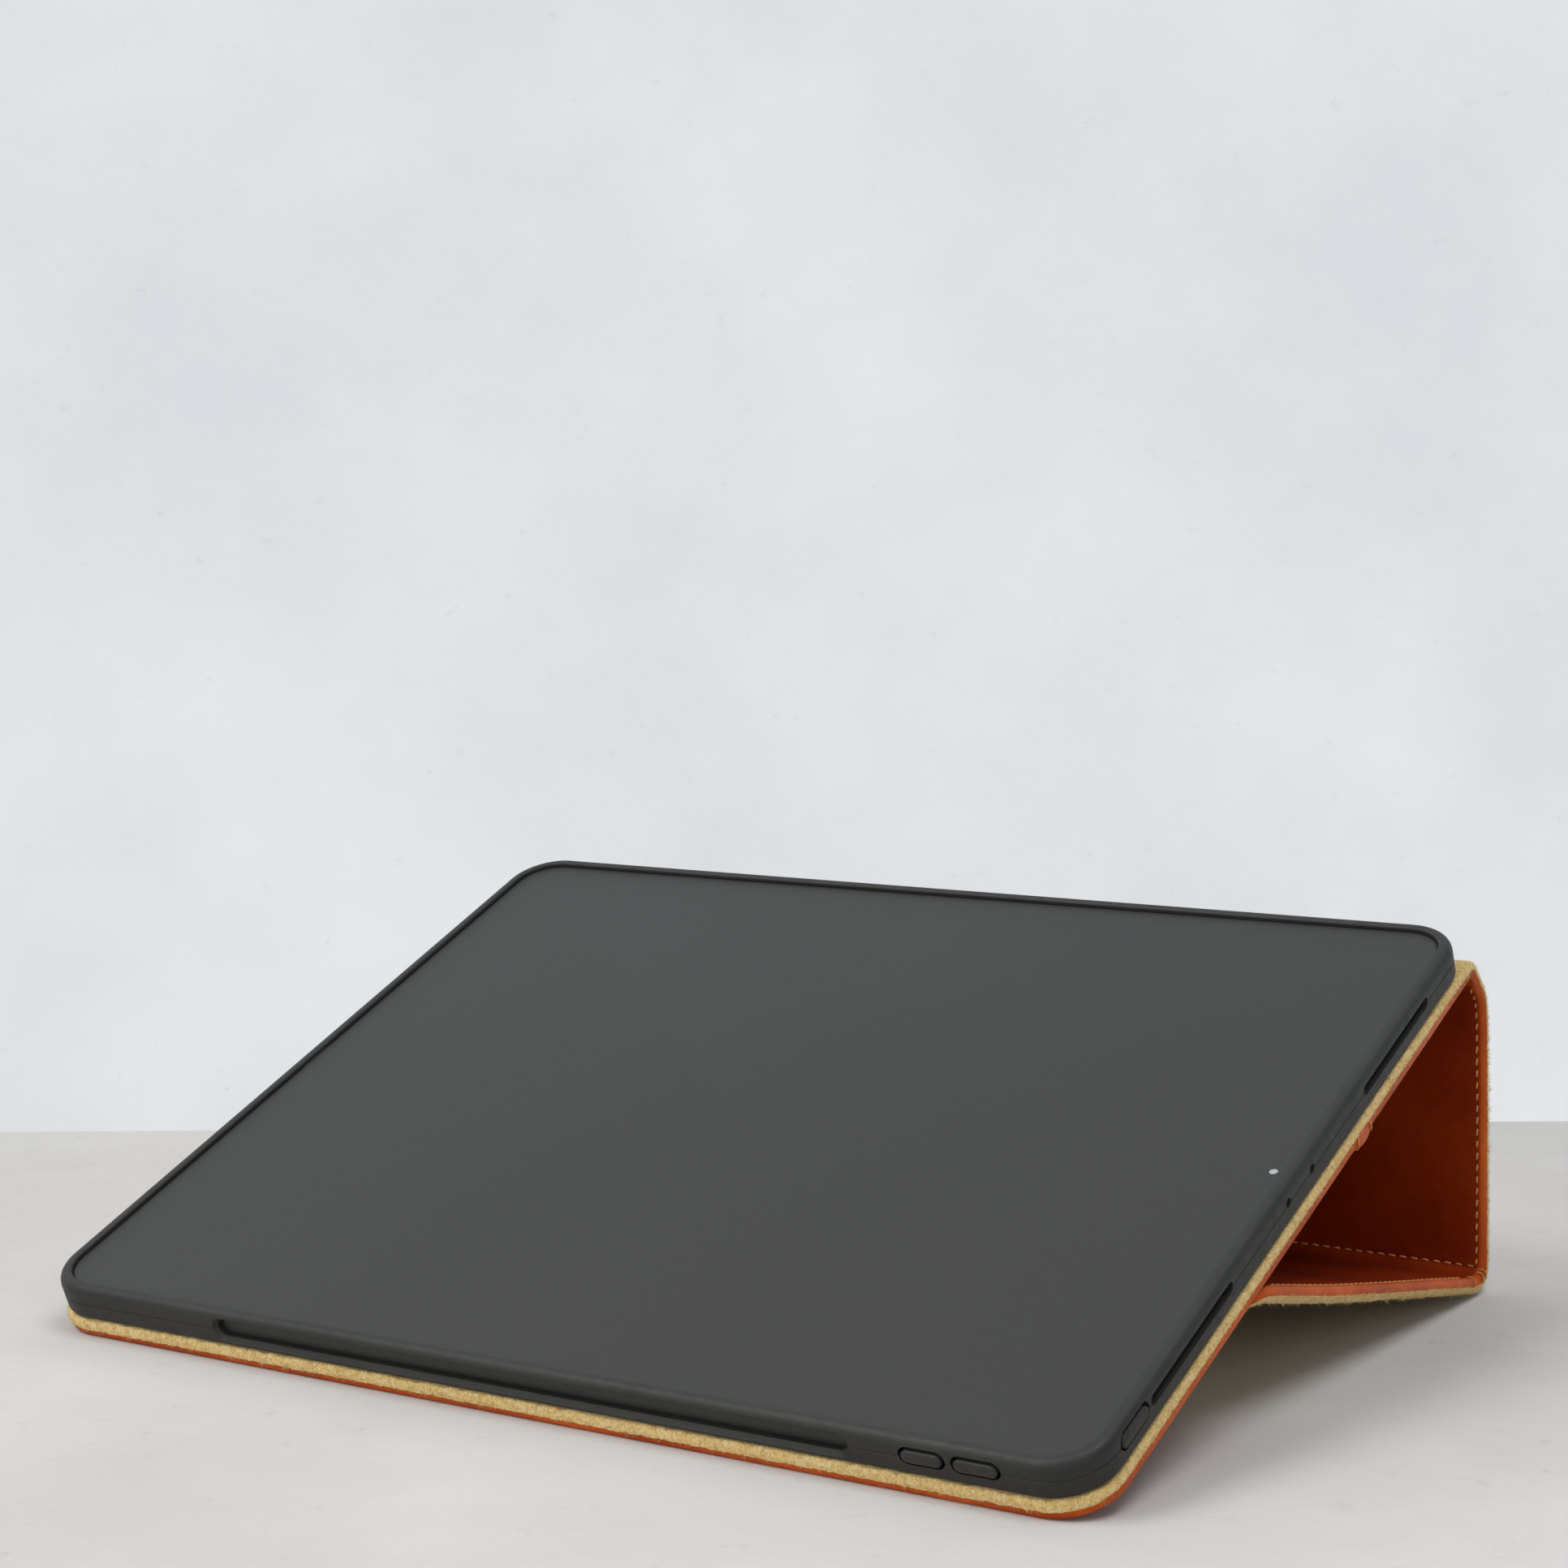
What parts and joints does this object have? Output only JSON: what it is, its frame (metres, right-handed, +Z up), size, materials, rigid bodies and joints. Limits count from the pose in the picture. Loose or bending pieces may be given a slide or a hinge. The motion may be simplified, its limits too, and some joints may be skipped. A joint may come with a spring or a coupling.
{
  "type": "tablet case",
  "caption": "Leather folio tablet case with a moulded tray, its cover folded behind into a triangular stand at a low typing angle.",
  "frame": {"origin": "middle of the bounding box's underside, on the surface the case stands on", "axes": "+X along the long front edge, +Y from the front edge towards the spine, +Z up"},
  "size_m": [0.2876, 0.2214, 0.0949],
  "materials": {
    "tpu": "soft-touch matt charcoal",
    "button": "soft-touch matt charcoal",
    "lining": "brushed microfibre",
    "grain_leather": "smooth waxed grain, semi-gloss cognac",
    "fold_leather": "smooth waxed grain, semi-gloss cognac",
    "suede": "natural fuzzy flesh side",
    "board": "fibre stiffener",
    "magnet": "nickel plated",
    "thread": "waxed thread"
  },
  "bodies": {
    "case": {"tray_shell": "tpu", "tray_lining": "lining", "back_suede": "suede", "back_board_lower": "board", "back_board_upper": "board", "back_leather_lower": "grain_leather", "back_leather_upper": "grain_leather", "back_fold_strip": "fold_leather", "back_thread_lower": "thread", "back_thread_upper": "thread", "back_magnet_1": "magnet", "back_magnet_2": "magnet", "back_magnet_3": "magnet", "back_magnet_4": "magnet"},
    "spine": {"spine_leather": "grain_leather", "spine_suede": "suede"},
    "strut": {"strut_leather": "grain_leather", "strut_board": "board", "strut_suede": "suede", "strut_thread": "thread"},
    "flap": {"flap_leather": "grain_leather", "flap_board": "board", "flap_suede": "suede", "flap_thread": "thread", "cover_fold_strip": "fold_leather"},
    "edge": {"edge_leather": "grain_leather", "edge_suede": "suede", "edge_magnet_1": "magnet", "edge_magnet_2": "magnet", "edge_magnet_3": "magnet", "edge_magnet_4": "magnet"},
    "volume_down": {"volume_down_button": "button"},
    "volume_up": {"volume_up_button": "button"},
    "power": {"power_button": "button"}
  },
  "joints": [
    {"name": "spine_hinge", "type": "hinge", "parent": "case", "child": "spine", "pos_m": [0, 0.09584, 0.0867], "axis": [1, 0, 0], "range_deg": [0, 154.25]},
    {"name": "cover_hinge", "type": "hinge", "parent": "spine", "child": "strut", "pos_m": [0, 0.10446, 0.07625], "axis": [1, 0, 0], "range_deg": [0, 134.7]},
    {"name": "cover_fold", "type": "hinge", "parent": "strut", "child": "flap", "pos_m": [0, 0.10562, 0.00399], "axis": [1, 0, 0], "range_deg": [0, 105.1]},
    {"name": "edge_flex", "type": "hinge", "parent": "flap", "child": "edge", "pos_m": [0, -0.0288, 0.02901], "axis": [-1, 0, 0], "range_deg": [0, 34.1]},
    {"name": "volume_down_press", "type": "slide", "parent": "case", "child": "volume_down", "axis": [0, 0.9255, 0.3786], "range_m": [0, 0.0004], "stiffness_N_per_m": 900},
    {"name": "volume_up_press", "type": "slide", "parent": "case", "child": "volume_up", "axis": [0, 0.9255, 0.3786], "range_m": [0, 0.0004], "stiffness_N_per_m": 900},
    {"name": "power_press", "type": "slide", "parent": "case", "child": "power", "axis": [-1, 0, 0], "range_m": [0, 0.0004], "stiffness_N_per_m": 900}
  ],
  "couplings": [
    {"joint": "edge_flex", "follows": "cover_fold", "ratio": 0.3244}
  ]
}
